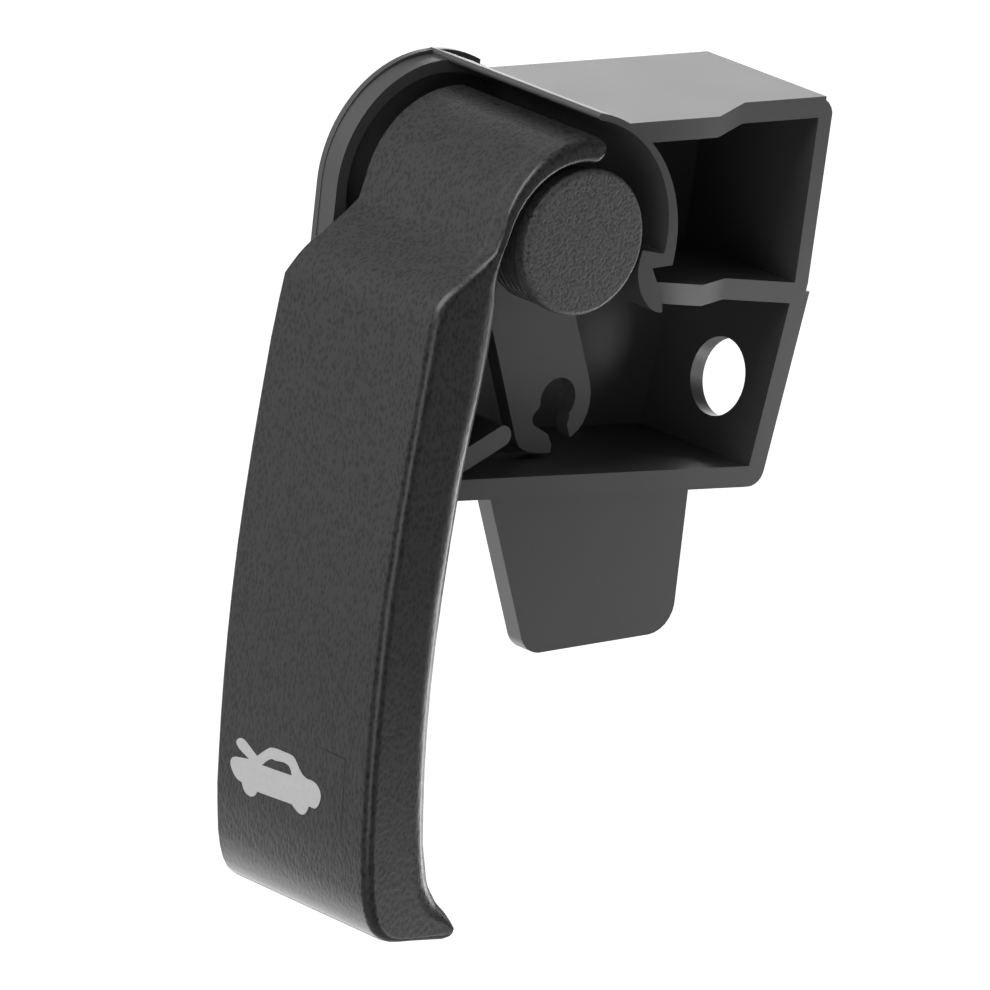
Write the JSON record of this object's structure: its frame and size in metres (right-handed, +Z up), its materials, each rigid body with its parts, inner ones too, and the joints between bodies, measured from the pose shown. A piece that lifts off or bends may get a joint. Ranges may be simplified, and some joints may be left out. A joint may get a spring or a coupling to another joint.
{
  "type": "hood release handle",
  "caption": "Moulded pull lever that turns on a moulded bracket, with a hooked arm that draws a release cable through a side port.",
  "frame": {"origin": "on the lever's pivot axis, at the back face of the bracket", "axes": "+Y along the pivot axis, out of the bracket's back face; +X towards the cable port; +Z up, with the lever hanging down"},
  "size_m": [0.0755, 0.0392, 0.1169],
  "materials": {
    "bracket_plastic": "smooth moulded charcoal plastic",
    "lever_plastic": "fine leather grain, charcoal",
    "button_plastic": "fine pebble grain, charcoal",
    "spring_steel": "black coated spring wire"
  },
  "bodies": {
    "bracket": {"bracket": "bracket_plastic", "pivot_button": "button_plastic", "return_spring": "spring_steel"},
    "lever": {"lever": "lever_plastic"}
  },
  "joints": [
    {"name": "lever_pivot", "type": "hinge", "parent": "bracket", "child": "lever", "pos_m": [0, -0.0196, 0], "axis": [0, 1, 0], "range_deg": [0, 40], "stiffness_Nm_per_rad": 0.05, "springref_deg": -17.19, "deforming": ["return_spring"]}
  ]
}
